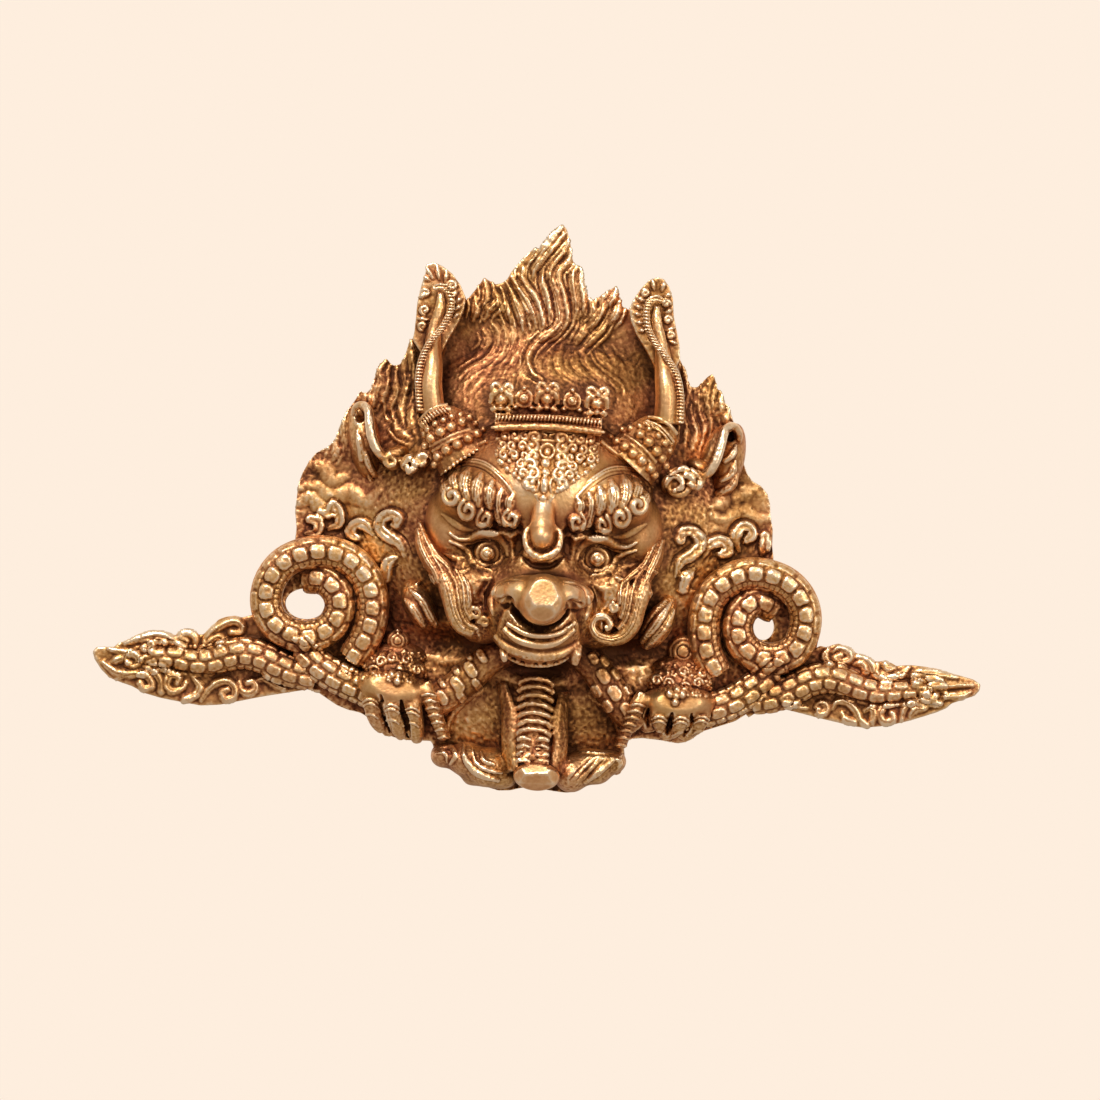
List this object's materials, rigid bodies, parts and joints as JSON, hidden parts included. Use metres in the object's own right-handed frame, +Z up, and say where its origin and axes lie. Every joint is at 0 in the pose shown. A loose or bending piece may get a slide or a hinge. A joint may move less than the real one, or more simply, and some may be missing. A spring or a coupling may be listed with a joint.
{
  "type": "garuda mask",
  "caption": "Cast brass wall relief of a horned Garuda face in a flame halo, with a crown, an open lower beak and a coiled serpent held in its claws.",
  "frame": {"origin": "on the flat back of the flame halo, on the face's centreline, just above the crown", "axes": "+X to the viewer's right along the serpent's tails, +Y into the wall, +Z up, and the face looks along -Y"},
  "size_m": [0.2499, 0.052, 0.1599],
  "materials": {
    "brass": "cast brass with a brown patina in the recesses and rubbed, paler high places"
  },
  "bodies": {
    "root": {"garuda_mask": "brass"}
  },
  "joints": []
}
